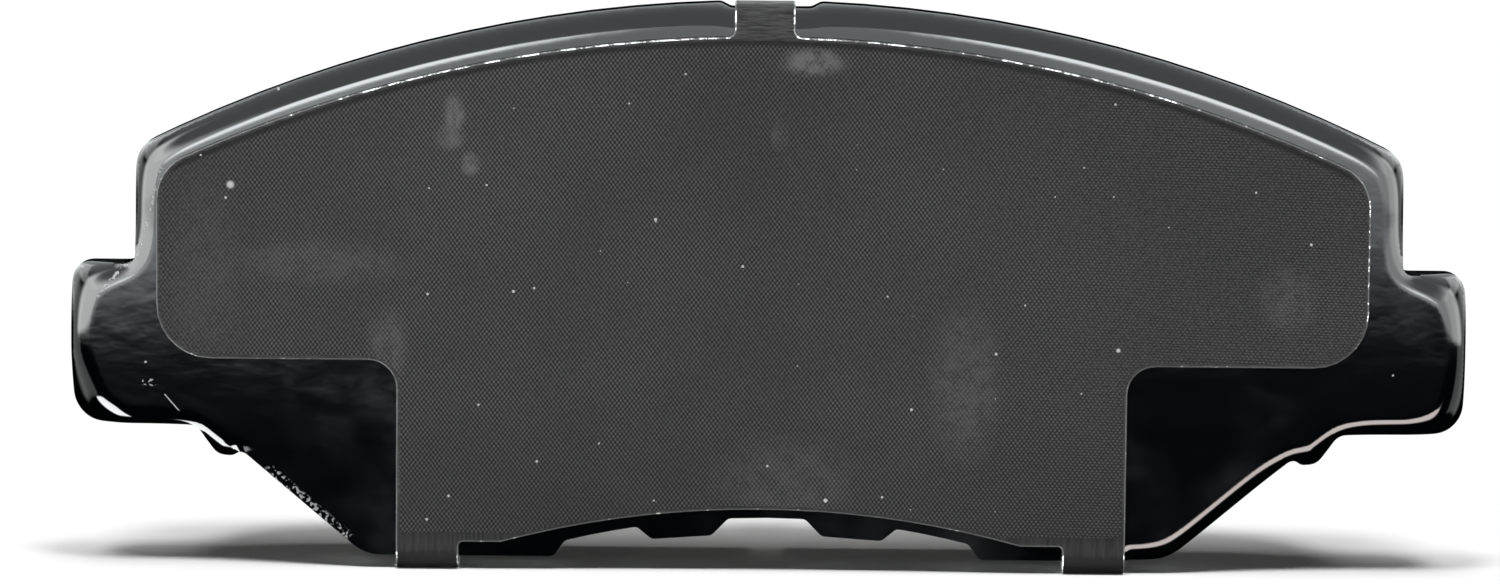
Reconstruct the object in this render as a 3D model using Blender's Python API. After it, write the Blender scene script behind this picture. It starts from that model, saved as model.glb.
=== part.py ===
"""Car disc-brake pad with a clip-on noise shim, standing on its lower edge.

Units are metres. X runs along the pad, Z up. The shim faces -Y and the friction
face +Y. The origin is the middle of the pad's footprint, at the height of its lowest
point, which is the underside of the shim's two lower tabs.
"""

import math

import bmesh
import bpy

MM = 0.001

# Backing plate. Heights are counted from the plate's own bottom edge.
PLATE_THICKNESS = 6.0 * MM
PLATE_HEIGHT = 59.5 * MM
PLATE_EDGE_ROUND = 0.45 * MM
BODY_HALF_WIDTH = 67.6 * MM
BODY_CORNER_RADIUS = 3.0 * MM
TOP_ARC_RADIUS = 150.0 * MM
EAR_REACH = 74.55 * MM
EAR_BOTTOM = 13.8 * MM
EAR_TOP = 31.0 * MM
NOTCH_HALF_WIDTH = 5.35 * MM
NOTCH_FLOOR_HALF_WIDTH = 4.3 * MM
NOTCH_DEPTH = 0.65 * MM
SCALLOP_RADIUS = 90.0 * MM
SCALLOP_HEIGHT = 4.35 * MM
RETENTION_HOLE_RADIUS = 4.5 * MM
RETENTION_HOLE_PLACES = ((-54.5 * MM, 30.5 * MM), (-18.0 * MM, 31.5 * MM),
                         (18.0 * MM, 31.5 * MM), (54.5 * MM, 30.5 * MM))

# Friction side.
UNDERLAYER_THICKNESS = 1.6 * MM
FRICTION_THICKNESS = 8.9 * MM
FRICTION_HALF_WIDTH = 63.3 * MM
FRICTION_TOP = 57.1 * MM
FRICTION_TOP_RADIUS = 147.5 * MM
FRICTION_BOTTOM = 3.5 * MM
FRICTION_SCALLOP_RADIUS = 100.0 * MM
FRICTION_SCALLOP_HEIGHT = 7.3 * MM
FRICTION_STEP_HEIGHT = 18.0 * MM
SLOT_WIDTH = 3.0 * MM
CHAMFER_LENGTH = 11.0 * MM
CHAMFER_DEPTH = 2.6 * MM
PLUG_CLEARANCE = 0.1 * MM

# Shim, seen from outside inwards: woven rubber, steel core, rubber, adhesive film.
SHIM_SHIFT = -0.65 * MM
OUTER_RUBBER_THICKNESS = 0.15 * MM
CORE_THICKNESS = 0.5 * MM
INNER_RUBBER_THICKNESS = 0.12 * MM
ADHESIVE_THICKNESS = 0.1 * MM
LAYER_GAP = 0.05 * MM
SHIM_HALF_WIDTH = 64.6 * MM
SHIM_TOP = 56.0 * MM
SHIM_TOP_RADIUS = 150.0 * MM
SHIM_CORNER_RADIUS = 5.0 * MM
SHIM_WING_BOTTOM = 21.1 * MM
SHIM_WING_RADIUS = 5.8 * MM
SHIM_WAIST_HALF_WIDTH = 39.0 * MM
SHIM_WAIST_RADIUS = 3.0 * MM
SHIM_BOTTOM = 1.6 * MM
SHIM_SCALLOP_RADIUS = 105.0 * MM
SHIM_SCALLOP_HEIGHT = 5.35 * MM
LAYER_INSET = 0.45 * MM
LAYER_BOTTOM_INSET = 1.05 * MM

# Shim tabs.
TOP_TAB_HALF_WIDTH = 3.2 * MM
TOP_TAB_BEND_RADIUS = 1.6 * MM
TOP_TAB_REACH = 4.6 * MM
TOP_TAB_CLEARANCE = 0.1 * MM
TOP_TAB_ROOT_RADIUS = 0.8 * MM
LOWER_TAB_WIDTH = 6.7 * MM
LOWER_TAB_BEND_RADIUS = 1.5 * MM
LOWER_TAB_BEND_ANGLE = math.radians(104)
LOWER_TAB_REACH = 2.4 * MM
LOWER_TAB_DROP = 1.42 * MM
LOWER_TAB_ROOT_RADIUS = 0.5 * MM

ARC_STEP = math.radians(1.8)
CORNER_STEP = math.radians(13)
BEND_STEPS = 9
HOLE_SIDES = 32

# Depths along Y, worked out from the stack of layers.
SHIM_STACK = (OUTER_RUBBER_THICKNESS + CORE_THICKNESS + INNER_RUBBER_THICKNESS
              + ADHESIVE_THICKNESS + 4 * LAYER_GAP)
STACK = SHIM_STACK + PLATE_THICKNESS + UNDERLAYER_THICKNESS + FRICTION_THICKNESS + 2 * LAYER_GAP
OUTER_FACE_Y = -STACK / 2
CORE_Y = OUTER_FACE_Y + OUTER_RUBBER_THICKNESS + LAYER_GAP
INNER_RUBBER_Y = CORE_Y + CORE_THICKNESS + LAYER_GAP
ADHESIVE_Y = INNER_RUBBER_Y + INNER_RUBBER_THICKNESS + LAYER_GAP
PLATE_Y = OUTER_FACE_Y + SHIM_STACK
UNDERLAYER_Y = PLATE_Y + PLATE_THICKNESS + LAYER_GAP
FRICTION_Y = UNDERLAYER_Y + UNDERLAYER_THICKNESS + LAYER_GAP


def clear_scene():
    for thing in list(bpy.data.objects):
        bpy.data.objects.remove(thing)


def arc_height(x, radius, apex):
    """Height at x of an arc that is centred on X = 0 and highest at apex."""
    return apex - radius + math.sqrt(radius * radius - x * x)


def arc_points(radius, apex, start, end):
    """Sharp outline points along that arc between two places in X, ends left out."""
    first = math.asin(start / radius)
    last = math.asin(end / radius)
    count = max(2, math.ceil(abs(last - first) / ARC_STEP))
    angles = [first + (last - first) * step / count for step in range(1, count)]
    return [(radius * math.sin(a), apex - radius + radius * math.cos(a), 0.0) for a in angles]


def rounded(corners):
    """Points of a closed outline whose corners (x, z, radius) are filleted."""
    points = []
    for index, (x, z, radius) in enumerate(corners):
        if radius == 0.0:
            points.append((x, z))
            continue
        before = corners[index - 1]
        after = corners[(index + 1) % len(corners)]
        back = math.atan2(before[1] - z, before[0] - x)
        ahead = math.atan2(after[1] - z, after[0] - x)
        inside = (ahead - back + math.pi) % math.tau - math.pi
        reach = radius / math.tan(abs(inside) / 2)
        centre = radius / math.sin(abs(inside) / 2)
        middle = back + inside / 2
        cx = x + centre * math.cos(middle)
        cz = z + centre * math.sin(middle)
        start = math.atan2(z + reach * math.sin(back) - cz, x + reach * math.cos(back) - cx)
        turn = math.copysign(math.pi - abs(inside), -inside)
        count = max(1, math.ceil(abs(turn) / CORNER_STEP))
        for step in range(count + 1):
            angle = start + turn * step / count
            points.append((cx + radius * math.cos(angle), cz + radius * math.sin(angle)))
    return points


def mirrored(half):
    """Closed list of corners from its right half, which runs bottom to top."""
    left = [(-x, z, radius) for x, z, radius in reversed(half) if x > 0.0]
    return half + left


def inset(points, distance):
    """The closed outline moved into its material, which lies on the left of its path."""
    moved = []
    for index, (x, z) in enumerate(points):
        bx, bz = points[index - 1]
        ax, az = points[(index + 1) % len(points)]
        incoming = math.atan2(z - bz, x - bx)
        outgoing = math.atan2(az - z, ax - x)
        half_turn = ((outgoing - incoming + math.pi) % math.tau - math.pi) / 2
        normal = incoming + half_turn + math.pi / 2
        reach = distance / math.cos(half_turn)
        moved.append((x + reach * math.cos(normal), z + reach * math.sin(normal)))
    return moved


def loft(name, rings):
    """Solid through rings of equal length, each (y, points), from low Y to high Y."""
    shape = bmesh.new()
    loops = [[shape.verts.new((x, y, z)) for x, z in points] for y, points in rings]
    for near, far in zip(loops, loops[1:]):
        for index, vertex in enumerate(near):
            shape.faces.new((near[index - 1], far[index - 1], far[index], vertex))
    shape.faces.new(loops[0])
    shape.faces.new(reversed(loops[-1]))
    bmesh.ops.recalc_face_normals(shape, faces=shape.faces)
    return new_object(name, shape)


def new_object(name, shape):
    mesh = bpy.data.meshes.new(name)
    shape.to_mesh(mesh)
    shape.free()
    thing = bpy.data.objects.new(name, mesh)
    bpy.context.scene.collection.objects.link(thing)
    return thing


def finish(thing, colour, roughness, metallic=0.0):
    """Lifts the piece onto its tabs, shades its round edges and gives it a material."""
    thing.location.z += LOWER_TAB_DROP
    thing.data.shade_smooth()
    thing.data.set_sharp_from_angle(angle=math.radians(32))
    material = bpy.data.materials.new(thing.name)
    material.use_nodes = True
    shader = material.node_tree.nodes["Principled BSDF"]
    shader.inputs["Base Color"].default_value = (*colour, 1.0)
    shader.inputs["Roughness"].default_value = roughness
    shader.inputs["Metallic"].default_value = metallic
    thing.data.materials.append(material)
    return thing


def boolean(thing, helper, operation):
    """Cuts or joins a helper solid, which is hidden and moves with the piece."""
    helper.hide_render = True
    helper.display_type = "WIRE"
    helper.parent = thing
    modifier = thing.modifiers.new(helper.name, "BOOLEAN")
    modifier.operation = operation
    modifier.solver = "EXACT"
    modifier.object = helper


def cylinder(name, x, z, radius, low_y, high_y):
    ring = []
    for side in range(HOLE_SIDES):
        angle = math.tau * side / HOLE_SIDES
        ring.append((x + radius * math.cos(angle), z + radius * math.sin(angle)))
    return loft(name, [(low_y, ring), (high_y, ring)])


def plate_corners():
    """Right half of the backing plate's outline, bottom middle to top middle."""
    tooth_low = 1.95 * MM
    tooth_high = 2.4 * MM
    scallop = (SCALLOP_RADIUS, SCALLOP_HEIGHT)
    gap_end = 4.1 * MM
    plateau_start = 13.9 * MM
    plateau_end = 21.6 * MM
    body_corner = arc_height(BODY_HALF_WIDTH, TOP_ARC_RADIUS, PLATE_HEIGHT)
    half = [(0.0, SCALLOP_HEIGHT, 0.0)]
    half.append((gap_end, arc_height(gap_end, *scallop), 0.5 * MM))
    half.append((5.9 * MM, tooth_high, 0.6 * MM))
    half.append((12.3 * MM, tooth_low, 0.6 * MM))
    half.append((plateau_start, arc_height(plateau_start, *scallop), 0.4 * MM))
    half += arc_points(*scallop, plateau_start, plateau_end)
    half.append((plateau_end, arc_height(plateau_end, *scallop), 0.5 * MM))
    half.append((22.8 * MM, 0.0, 0.6 * MM))
    half.append((43.0 * MM, 0.0, 4.5 * MM))
    # Half-round lug below the ear.
    half.append((56.3 * MM, 11.25 * MM, 0.8 * MM))
    half.append((57.2 * MM, 10.35 * MM, 1.0 * MM))
    half.append((59.0 * MM, 10.35 * MM, 1.3 * MM))
    half.append((61.0 * MM, EAR_BOTTOM, 1.6 * MM))
    half.append((EAR_REACH, EAR_BOTTOM, 3.0 * MM))
    half.append((EAR_REACH, EAR_TOP, 2.0 * MM))
    half.append((BODY_HALF_WIDTH, EAR_TOP, 1.0 * MM))
    half.append((BODY_HALF_WIDTH, body_corner, BODY_CORNER_RADIUS))
    half += arc_points(TOP_ARC_RADIUS, PLATE_HEIGHT, BODY_HALF_WIDTH, NOTCH_HALF_WIDTH)
    notch_edge = arc_height(NOTCH_HALF_WIDTH, TOP_ARC_RADIUS, PLATE_HEIGHT)
    half.append((NOTCH_HALF_WIDTH, notch_edge, 0.8 * MM))
    half.append((NOTCH_FLOOR_HALF_WIDTH, PLATE_HEIGHT - NOTCH_DEPTH, 0.3 * MM))
    return half


def friction_corners(left_edge):
    """Right half of the lining's outline, starting at left_edge in X."""
    scallop = (FRICTION_SCALLOP_RADIUS, FRICTION_SCALLOP_HEIGHT)
    drop = FRICTION_SCALLOP_HEIGHT - FRICTION_BOTTOM
    scallop_end = math.sqrt(2 * FRICTION_SCALLOP_RADIUS * drop - drop * drop)
    top_corner = arc_height(FRICTION_HALF_WIDTH, FRICTION_TOP_RADIUS, FRICTION_TOP)
    half = [(left_edge, arc_height(left_edge, *scallop), 0.0)]
    half += arc_points(*scallop, left_edge, scallop_end)
    half.append((scallop_end, FRICTION_BOTTOM, 0.0))
    half.append((40.3 * MM, FRICTION_BOTTOM, 3.0 * MM))
    half.append((57.5 * MM, FRICTION_STEP_HEIGHT, 3.0 * MM))
    half.append((FRICTION_HALF_WIDTH, FRICTION_STEP_HEIGHT, 2.0 * MM))
    half.append((FRICTION_HALF_WIDTH, top_corner, 4.0 * MM))
    half += arc_points(FRICTION_TOP_RADIUS, FRICTION_TOP, FRICTION_HALF_WIDTH, left_edge)
    half.append((left_edge, arc_height(left_edge, FRICTION_TOP_RADIUS, FRICTION_TOP), 0.0))
    return half


def shim_corners(edge, bottom_edge, tab_root=None):
    """Right half of the shim's outline.

    edge and bottom_edge say how far the outline stays inside the steel's own edge.
    tab_root is (height of the lower tabs' roots, height of the top tab's root).
    """
    half_width = SHIM_HALF_WIDTH - edge
    waist = SHIM_WAIST_HALF_WIDTH - edge
    bottom = SHIM_BOTTOM + bottom_edge
    scallop = (SHIM_SCALLOP_RADIUS + edge, SHIM_SCALLOP_HEIGHT + edge)
    drop = scallop[1] - bottom
    scallop_end = math.sqrt(2 * scallop[0] * drop - drop * drop)
    top = (SHIM_TOP_RADIUS - edge, SHIM_TOP - edge)
    top_corner = arc_height(half_width, *top)
    half = [(0.0, scallop[1], 0.0)]
    half += arc_points(*scallop, 0.0, scallop_end)
    half.append((scallop_end, bottom, 0.0))
    if tab_root:
        inner = waist - LOWER_TAB_WIDTH
        half.append((inner, bottom, LOWER_TAB_ROOT_RADIUS))
        half.append((inner, tab_root[0], 0.0))
        half.append((waist, tab_root[0], 0.0))
    else:
        half.append((waist, bottom, 0.0))
    half.append((waist, SHIM_WING_BOTTOM + edge, SHIM_WAIST_RADIUS + edge))
    half.append((half_width, SHIM_WING_BOTTOM + edge, SHIM_WING_RADIUS - edge))
    half.append((half_width, top_corner, SHIM_CORNER_RADIUS - edge))
    if not tab_root:
        half += arc_points(*top, half_width, 0.0)
        half.append((0.0, top[1], 0.0))
        return half
    half += arc_points(*top, half_width, TOP_TAB_HALF_WIDTH)
    tab_foot = arc_height(TOP_TAB_HALF_WIDTH, *top)
    half.append((TOP_TAB_HALF_WIDTH, tab_foot, TOP_TAB_ROOT_RADIUS))
    half.append((TOP_TAB_HALF_WIDTH, tab_root[1], 0.0))
    return half


def make_backing_plate():
    outline = rounded(mirrored(plate_corners()))
    rings = []
    for step in range(3):
        angle = math.pi / 2 * step / 2
        depth = PLATE_EDGE_ROUND * (1 - math.sin(angle))
        rings.append((PLATE_Y + PLATE_EDGE_ROUND * (1 - math.cos(angle)), inset(outline, depth)))
    rings.append((PLATE_Y + PLATE_THICKNESS, outline))
    plate = loft("backing_plate", rings)
    for number, (x, z) in enumerate(RETENTION_HOLE_PLACES):
        low = PLATE_Y - 1.0 * MM
        high = PLATE_Y + PLATE_THICKNESS + 1.0 * MM
        hole = cylinder(f"hole_cutter_{number}", x, z, RETENTION_HOLE_RADIUS, low, high)
        boolean(plate, hole, "DIFFERENCE")
    return finish(plate, (0.006, 0.006, 0.007), 0.12)


def make_underlayer():
    """Bonding layer between plate and lining, with the plugs that fill the plate's holes."""
    outline = rounded(mirrored(friction_corners(0.0)))
    high = UNDERLAYER_Y + UNDERLAYER_THICKNESS
    layer = loft("underlayer", [(UNDERLAYER_Y, outline), (high, outline)])
    for number, (x, z) in enumerate(RETENTION_HOLE_PLACES):
        radius = RETENTION_HOLE_RADIUS - PLUG_CLEARANCE
        middle = UNDERLAYER_Y + UNDERLAYER_THICKNESS / 2
        low = PLATE_Y + PLUG_CLEARANCE
        boolean(layer, cylinder(f"plug_{number}", x, z, radius, low, middle), "UNION")
    return finish(layer, (0.06, 0.055, 0.05), 0.85)


def make_friction_block(name, side):
    """One half of the lining, with its outer end chamfered. side is -1 or 1."""
    outline = rounded(friction_corners(SLOT_WIDTH / 2))
    if side < 0:
        outline = [(-x, z) for x, z in reversed(outline)]
    face = FRICTION_Y + FRICTION_THICKNESS
    block = loft(name, [(FRICTION_Y, outline), (face, outline)])
    start = FRICTION_HALF_WIDTH - CHAMFER_LENGTH
    slope = CHAMFER_DEPTH / CHAMFER_LENGTH
    over = 2.0 * MM
    wedge = bmesh.new()
    profile = ((start, face), (FRICTION_HALF_WIDTH + over, face - slope * (CHAMFER_LENGTH + over)),
               (FRICTION_HALF_WIDTH + over, face + over), (start, face + over))
    ends = []
    for z in (0.0, PLATE_HEIGHT):
        ends.append([wedge.verts.new((side * x, y, z)) for x, y in profile])
    for index in range(4):
        wedge.faces.new((ends[0][index - 1], ends[0][index], ends[1][index], ends[1][index - 1]))
    wedge.faces.new(ends[0])
    wedge.faces.new(ends[1])
    bmesh.ops.recalc_face_normals(wedge, faces=wedge.faces)
    boolean(block, new_object(name + "_chamfer_cutter", wedge), "DIFFERENCE")
    return finish(block, (0.09, 0.085, 0.08), 0.9)


def make_flat_layer(name, low_y, thickness, colour, roughness):
    """Rubber or film of the shim, which ends just inside the steel's edge."""
    outline = rounded(mirrored(shim_corners(LAYER_INSET, LAYER_BOTTOM_INSET)))
    outline = [(x + SHIM_SHIFT, z) for x, z in outline]
    layer = loft(name, [(low_y, outline), (low_y + thickness, outline)])
    return finish(layer, colour, roughness)


def extend_tab(sheet, root, radius, angle, reach, up):
    """Bends a strip from a root edge of the sheet towards +Y. up is 1 or -1."""
    edge = root
    centre_y = CORE_Y + radius
    base = root.verts[0].co.z
    path = []
    for step in range(1, BEND_STEPS + 1):
        turn = angle * step / BEND_STEPS
        path.append((centre_y - radius * math.cos(turn), base + up * radius * math.sin(turn)))
    last_y, last_z = path[-1]
    path.append((last_y + reach * math.sin(angle), last_z + up * reach * math.cos(angle)))
    for y, z in path:
        grown = bmesh.ops.extrude_edge_only(sheet, edges=[edge])["geom"]
        for vertex in (item for item in grown if isinstance(item, bmesh.types.BMVert)):
            vertex.co.y = y
            vertex.co.z = z
        edge = next(item for item in grown if isinstance(item, bmesh.types.BMEdge)
                    and item.verts[0].co.z == item.verts[1].co.z
                    and item.verts[0].co.x != item.verts[1].co.x)


def make_steel_core():
    """Sheet-steel core of the shim, with one tab over the plate and two under it."""
    low_root = LOWER_TAB_BEND_RADIUS - LOWER_TAB_DROP
    notch_floor = PLATE_HEIGHT - NOTCH_DEPTH
    high_root = notch_floor + TOP_TAB_CLEARANCE + CORE_THICKNESS - TOP_TAB_BEND_RADIUS
    outline = rounded(mirrored(shim_corners(0.0, 0.0, (low_root, high_root))))
    sheet = bmesh.new()
    sheet.faces.new([sheet.verts.new((x + SHIM_SHIFT, CORE_Y, z)) for x, z in outline])
    sheet.verts.ensure_lookup_table()
    roots = []
    for edge in sheet.edges:
        heights = [vertex.co.z for vertex in edge.verts]
        if max(heights) - min(heights) < 0.001 * MM:
            if abs(heights[0] - low_root) < 0.001 * MM:
                roots.append((edge, LOWER_TAB_BEND_RADIUS, LOWER_TAB_BEND_ANGLE,
                              LOWER_TAB_REACH, -1))
            elif abs(heights[0] - high_root) < 0.001 * MM:
                roots.append((edge, TOP_TAB_BEND_RADIUS, math.pi / 2, TOP_TAB_REACH, 1))
    for root in roots:
        extend_tab(sheet, *root)
    core = new_object("shim_steel_core", sheet)
    solidify = core.modifiers.new("sheet_thickness", "SOLIDIFY")
    solidify.thickness = CORE_THICKNESS
    solidify.offset = -1.0
    solidify.use_even_offset = True
    return finish(core, (0.035, 0.035, 0.035), 0.5)


def main():
    clear_scene()
    make_backing_plate()
    make_underlayer()
    make_friction_block("friction_block_left", -1)
    make_friction_block("friction_block_right", 1)
    make_flat_layer("shim_adhesive_film", ADHESIVE_Y, ADHESIVE_THICKNESS, (0.12, 0.11, 0.09), 0.6)
    make_flat_layer("shim_inner_rubber", INNER_RUBBER_Y, INNER_RUBBER_THICKNESS,
                    (0.02, 0.02, 0.02), 0.8)
    make_steel_core()
    make_flat_layer("shim_outer_rubber", OUTER_FACE_Y, OUTER_RUBBER_THICKNESS,
                    (0.03, 0.03, 0.03), 0.7)


main()
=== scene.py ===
"""Looks of a car disc-brake pad: gloss black punched plate, woven shim, ground lining."""

import math

import bmesh
import bpy
import numpy as np
from mathutils import Matrix, Vector, geometry, kdtree, noise


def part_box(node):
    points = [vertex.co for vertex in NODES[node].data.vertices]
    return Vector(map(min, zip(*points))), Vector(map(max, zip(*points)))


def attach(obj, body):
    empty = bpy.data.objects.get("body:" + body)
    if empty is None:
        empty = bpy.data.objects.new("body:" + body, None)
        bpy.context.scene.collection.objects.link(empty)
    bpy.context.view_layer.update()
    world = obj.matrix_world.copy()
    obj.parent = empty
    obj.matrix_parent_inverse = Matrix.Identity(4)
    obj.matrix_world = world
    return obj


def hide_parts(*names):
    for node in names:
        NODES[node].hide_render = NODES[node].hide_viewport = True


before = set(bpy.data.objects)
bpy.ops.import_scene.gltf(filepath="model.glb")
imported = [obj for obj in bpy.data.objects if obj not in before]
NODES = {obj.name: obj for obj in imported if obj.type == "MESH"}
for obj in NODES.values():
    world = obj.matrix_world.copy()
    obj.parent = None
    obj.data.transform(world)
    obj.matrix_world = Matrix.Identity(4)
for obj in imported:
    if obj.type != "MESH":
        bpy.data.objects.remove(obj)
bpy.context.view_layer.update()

MM = 0.001
WELD_DISTANCE = 0.001 * MM
FLAT_TOLERANCE = 0.005 * MM

# Die roll of the punched plate: its width at the sides, at the top arc and low down.
ROLL_WIDTH = 2.2 * MM
TOP_ROLL_WIDTH = 2.5 * MM
LOW_ROLL_WIDTH = 1.7 * MM
# The top width holds from this far below the plate's top, and fades in over a stretch.
TOP_ROLL_DROP = 21 * MM
TOP_ROLL_FADE = 6 * MM
# Slopes at the roll's start, at the steep share of its width and at the plate's edge.
ROLL_STEEP_SHARE = 0.5
ROLL_START_SLOPE = math.radians(1)
ROLL_MIDDLE_SLOPE = math.radians(22)
ROLL_END_SLOPE = math.radians(64)
# Corners: near the edge, most of the distance to it is read from a blurred outline.
ROLL_FIELD_PITCH = 0.15 * MM
ROLL_BLUR = 2.4 * MM
ROLL_CORNER_REACH = 3.5 * MM
ROLL_CORNER_SHARE = 0.75
# Wider roll at the four ear corners: where an ear's end counts as flat, how far a corner
# reaches and the extra width there.
EAR_END_DEPTH = 0.5 * MM
EAR_CORNER_REACH = 7.0 * MM
EAR_TOP_EXTRA = 0.7 * MM
LEFT_EAR_LOW_EXTRA = 3.4 * MM
RIGHT_EAR_LOW_EXTRA = 0.8 * MM
# Sheared edges without a roll, each (left, right, top): the teeth and the left slope.
SQUARE_EDGES = ((-38.5 * MM, 38.5 * MM, 9.5 * MM), (-56.6 * MM, -38.5 * MM, 13.2 * MM))

# Mesh of the plate: points along its outline, in a band beside it and in its middle.
OUTLINE_FINE_PITCH = 0.1 * MM
OUTLINE_PITCH = 0.3 * MM
OUTLINE_SOFTNESS = 0.15 * MM
RIM_BAND = 5.2 * MM
RIM_PITCH = 0.36 * MM
CORE_PITCH = 1.6 * MM
# Plate wall: rows of points, the small bevel behind, and how uneven its torn part is.
WALL_STEPS = 7
BACK_BEVEL = 0.12 * MM
TORN_FROM, TORN_TO = 0.45, 0.95
TEAR_SCALE = (900, 260, 900)
TEAR_AMOUNT = 0.035 * MM
TEAR_OFFSET = 0.01 * MM

# Steel sheet of the shim, to tell its cut edges from its faces.
SHEET_THICKNESS = 0.5 * MM
SHEET_TOLERANCE = 0.02 * MM
CUT_EDGE_WIDTH = 0.62 * MM

# Marks in the paint lie on the plate's front, up to this depth.
PAINT_MARKS_UP_TO = -6 * MM
# Straight marks, each from (x, z) to (x, z) and its width: a scratch, the paint ridge beside
# the left ear and the knocked left slope.
SCRATCH = ((-64.4 * MM, 18.5 * MM), (-62.9 * MM, 16.8 * MM), 0.07 * MM)
PAINT_RIDGE = (
    ((-64.8 * MM, 42.8 * MM), (-67.1 * MM, 33.8 * MM), 0.22 * MM),
    ((-67.1 * MM, 33.8 * MM), (-69.5 * MM, 31.4 * MM), 0.22 * MM),
    ((-69.5 * MM, 31.4 * MM), (-71.6 * MM, 29.0 * MM), 0.30 * MM),
)
KNOCKED_SLOPE = ((-53.2 * MM, 10.5 * MM), (-44.9 * MM, 3.4 * MM), 0.7 * MM)
# A rubbed spot on the left ear: x, z, half width and half height.
RUBBED_SPOT = (-66.1 * MM, 19.8 * MM, 1.1 * MM, 0.5 * MM)

# Weave of the shim's rubber face: pitch across and up, and how far it is turned.
WEAVE_ACROSS = 0.4615 * MM
WEAVE_UP = 0.600 * MM
WEAVE_TILT = math.radians(-1.6)
RUBBER_TOP_RADIUS = 149.55 * MM
# Smears on the rubber: (x, z, half width, half height) and strength.
SMEARS = (
    ((4.5 * MM, 54.8 * MM, 4.5 * MM, 1.9 * MM), 0.7),
    ((1.0 * MM, 47.0 * MM, 1.2 * MM, 2.2 * MM), 0.3),
    ((-33.5 * MM, 49.1 * MM, 1.5 * MM, 2.6 * MM), 0.7),
    ((-34.0 * MM, 46.5 * MM, 2.0 * MM, 1.8 * MM), 0.5),
    ((-31.8 * MM, 43.6 * MM, 1.3 * MM, 1.6 * MM), 0.7),
    ((21.0 * MM, 20.5 * MM, 5.0 * MM, 11.0 * MM), 0.22),
    ((-48.0 * MM, 33.0 * MM, 12.0 * MM, 3.0 * MM), 0.18),
    ((-60.0 * MM, 32.0 * MM, 4.5 * MM, 13.0 * MM), 0.1),
    ((-40.5 * MM, 24.0 * MM, 3.0 * MM, 5.0 * MM), 0.25),
    ((55.3 * MM, 30.0 * MM, 4.0 * MM, 4.5 * MM), 0.20),
    ((2.0 * MM, 10.0 * MM, 10.0 * MM, 6.0 * MM), 0.15),
)
# Larger specks on the rubber: (x, z, radius).
LARGE_SPECKS = (
    (-57.3 * MM, 41.2 * MM, 0.55 * MM),
    (-57.8 * MM, 39.8 * MM, 0.2 * MM),
    (37.3 * MM, 24.3 * MM, 0.3 * MM),
    (-34.0 * MM, 8.0 * MM, 0.2 * MM),
)


# ---------------------------------------------------------------- reading the frame


def welded(node):
    """A CAD node's mesh with the corners of its triangles joined."""
    shape = bmesh.new()
    shape.from_mesh(NODES[node].data)
    bmesh.ops.remove_doubles(shape, verts=shape.verts, dist=WELD_DISTANCE)
    return shape


def flat_loop(node, y):
    """Outer boundary, counter-clockwise in (x, z), of a CAD node's flat face at depth y."""
    shape = welded(node)
    flat = [face for face in shape.faces
            if all(abs(vertex.co.y - y) < FLAT_TOLERANCE for vertex in face.verts)]
    inside = set(flat)
    follow = {}
    # The list keeps its order from run to run, which the set does not.
    for face in flat:
        for loop in face.loops:
            if sum(other in inside for other in loop.edge.link_faces) == 1:
                follow[loop.vert] = loop.link_loop_next.vert
    loops = []
    while follow:
        start, vertex = follow.popitem()
        points = [start.co.xz]
        while vertex is not start:
            points.append(vertex.co.xz)
            vertex = follow.pop(vertex)
        loops.append(np.array(points, float))
    shape.free()
    longest = max(loops, key=lambda points: np.ptp(points[:, 0]))
    return longest if signed_area(longest) > 0 else longest[::-1]


def signed_area(points):
    after = np.roll(points, -1, axis=0)
    return float((points[:, 0] * after[:, 1] - after[:, 0] * points[:, 1]).sum() / 2)


def resampled(points, pitch, softness):
    """The closed outline at an even pitch, with its facets smoothed by a small blur."""
    closed = np.vstack([points, points[:1]])
    along = np.concatenate([[0.0], np.cumsum(np.linalg.norm(np.diff(closed, axis=0), axis=1))])
    count = int(round(along[-1] / OUTLINE_FINE_PITCH))
    places = np.arange(count) * along[-1] / count
    dense = np.column_stack([np.interp(places, along, closed[:, k]) for k in (0, 1)])
    waves = np.fft.fftfreq(count, OUTLINE_FINE_PITCH)
    keep = np.exp(-2 * (math.pi * softness * waves) ** 2)[:, None]
    dense = np.real(np.fft.ifft(np.fft.fft(dense, axis=0) * keep, axis=0))
    step = max(1, int(round(pitch / OUTLINE_FINE_PITCH)))
    return dense[::step]


def outward(points):
    """Unit normals of a counter-clockwise outline, pointing out of it."""
    along = np.roll(points, -1, axis=0) - np.roll(points, 1, axis=0)
    normals = np.column_stack([along[:, 1], -along[:, 0]])
    return normals / np.linalg.norm(normals, axis=1)[:, None]


def crossings(outline, z):
    """Where a level line crosses the outline, from left to right."""
    after = np.roll(outline, -1, axis=0)
    crossing = (outline[:, 1] <= z) != (after[:, 1] <= z)
    a, b = outline[crossing], after[crossing]
    return np.sort(a[:, 0] + (z - a[:, 1]) * (b[:, 0] - a[:, 0]) / (b[:, 1] - a[:, 1]))


# ---------------------------------------------------------------- the die roll


def inside_mask(outline, xs, zs):
    """1 inside the outline and 0 outside it, on a grid."""
    mask = np.zeros((len(zs), len(xs)))
    for row, z in enumerate(zs):
        mask[row] = np.searchsorted(crossings(outline, z), xs) % 2
    return mask


def blurred(mask, pitch, softness):
    """The mask under a Gaussian blur."""
    rows = np.fft.fftfreq(mask.shape[0], pitch)[:, None]
    columns = np.fft.fftfreq(mask.shape[1], pitch)[None, :]
    keep = np.exp(-2 * (math.pi * softness) ** 2 * (rows**2 + columns**2))
    return np.real(np.fft.ifft2(np.fft.fft2(mask) * keep))


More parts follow.
